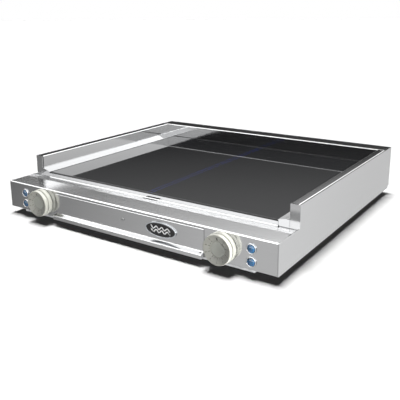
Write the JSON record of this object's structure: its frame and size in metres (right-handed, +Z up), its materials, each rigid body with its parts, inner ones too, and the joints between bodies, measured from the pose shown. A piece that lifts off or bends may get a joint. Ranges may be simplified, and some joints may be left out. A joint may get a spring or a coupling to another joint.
{
  "type": "electric induction cooktop",
  "caption": "Counter-top electric cooktop: a low steel box with a black glass plate, splash guards on three sides, knobs and a grease tray.",
  "frame": {"origin": "middle of the bounding box, on the surface the feet stand on", "axes": "+X to the cook's right, +Y to the back of the cooktop, +Z up; the knobs face -Y"},
  "size_m": [0.62, 0.5906, 0.108],
  "materials": {
    "brushed_steel": "brushed along the length, satin",
    "galvanised_steel": "galvanised, dull",
    "glass_ceramic": "polished black glass-ceramic",
    "black_rubber": "matt silicone and rubber",
    "knob_cream": "satin moulded plastic with printed marks",
    "knob_grey": "satin moulded plastic",
    "black_plastic": "moulded, fine grain",
    "chrome_trim": "polished",
    "blue_lens": "clear moulded lens, tinted blue",
    "coil_copper": "lacquered stranded copper wire",
    "cast_aluminium": "mill finish",
    "circuit_board": "solder mask",
    "terminal_ceramic": "unglazed"
  },
  "bodies": {
    "housing": {"back_guard_liner": "brushed_steel", "back_panel": "brushed_steel", "back_screw_1": "galvanised_steel", "back_screw_2": "galvanised_steel", "back_screw_3": "galvanised_steel", "back_screw_4": "galvanised_steel", "base_plate": "galvanised_steel", "cable_gland": "black_plastic", "filter_board": "circuit_board", "front_console": "brushed_steel", "glass_plate": "glass_ceramic", "glass_seal": "black_rubber", "left_back_foot": "black_rubber", "left_coil_carrier": "cast_aluminium", "left_fan_frame": "black_plastic", "left_front_foot": "black_rubber", "left_glass_trim": "brushed_steel", "left_guard_liner": "brushed_steel", "left_heat_sink": "cast_aluminium", "left_induction_coil": "coil_copper", "left_knob_collar": "knob_cream", "left_lower_lamp_bezel": "chrome_trim", "left_lower_lamp_lens": "blue_lens", "left_power_board": "circuit_board", "left_regulator": "black_plastic", "left_side_panel": "brushed_steel", "left_tray_runner": "galvanised_steel", "left_upper_lamp_bezel": "chrome_trim", "left_upper_lamp_lens": "blue_lens", "right_back_foot": "black_rubber", "right_coil_carrier": "cast_aluminium", "right_fan_frame": "black_plastic", "right_front_foot": "black_rubber", "right_glass_trim": "brushed_steel", "right_guard_liner": "brushed_steel", "right_heat_sink": "cast_aluminium", "right_induction_coil": "coil_copper", "right_knob_collar": "knob_cream", "right_lower_lamp_bezel": "chrome_trim", "right_lower_lamp_lens": "blue_lens", "right_power_board": "circuit_board", "right_regulator": "black_plastic", "right_side_panel": "brushed_steel", "right_tray_runner": "galvanised_steel", "right_upper_lamp_bezel": "chrome_trim", "right_upper_lamp_lens": "blue_lens", "terminal_block": "terminal_ceramic"},
    "tray": {"tray_front": "brushed_steel", "tray_pan": "brushed_steel", "tray_rivet": "galvanised_steel", "badge_rim": "chrome_trim", "badge_plate": "black_plastic"},
    "left_knob": {"left_knob_body": "knob_cream", "left_knob_cap": "knob_grey", "left_knob_shaft": "galvanised_steel"},
    "right_knob": {"right_knob_body": "knob_cream", "right_knob_cap": "knob_grey", "right_knob_shaft": "galvanised_steel"},
    "left_fan": {"left_fan_rotor": "black_plastic"},
    "right_fan": {"right_fan_rotor": "black_plastic"}
  },
  "joints": [
    {"name": "tray_slide", "type": "slide", "parent": "housing", "child": "tray", "axis": [0, -1, 0], "range_m": [0, 0.08]},
    {"name": "left_knob_turn", "type": "hinge", "parent": "housing", "child": "left_knob", "pos_m": [-0.21, -0.2767, 0.041], "axis": [0, 1, 0], "range_deg": [0, 280]},
    {"name": "right_knob_turn", "type": "hinge", "parent": "housing", "child": "right_knob", "pos_m": [0.21, -0.2767, 0.041], "axis": [0, 1, 0], "range_deg": [0, 280]},
    {"name": "left_fan_spin", "type": "hinge", "parent": "housing", "child": "left_fan", "pos_m": [-0.14, -0.1217, 0.027], "axis": [0, 0, 1], "continuous": true},
    {"name": "right_fan_spin", "type": "hinge", "parent": "housing", "child": "right_fan", "pos_m": [0.14, -0.1217, 0.027], "axis": [0, 0, 1], "continuous": true}
  ]
}
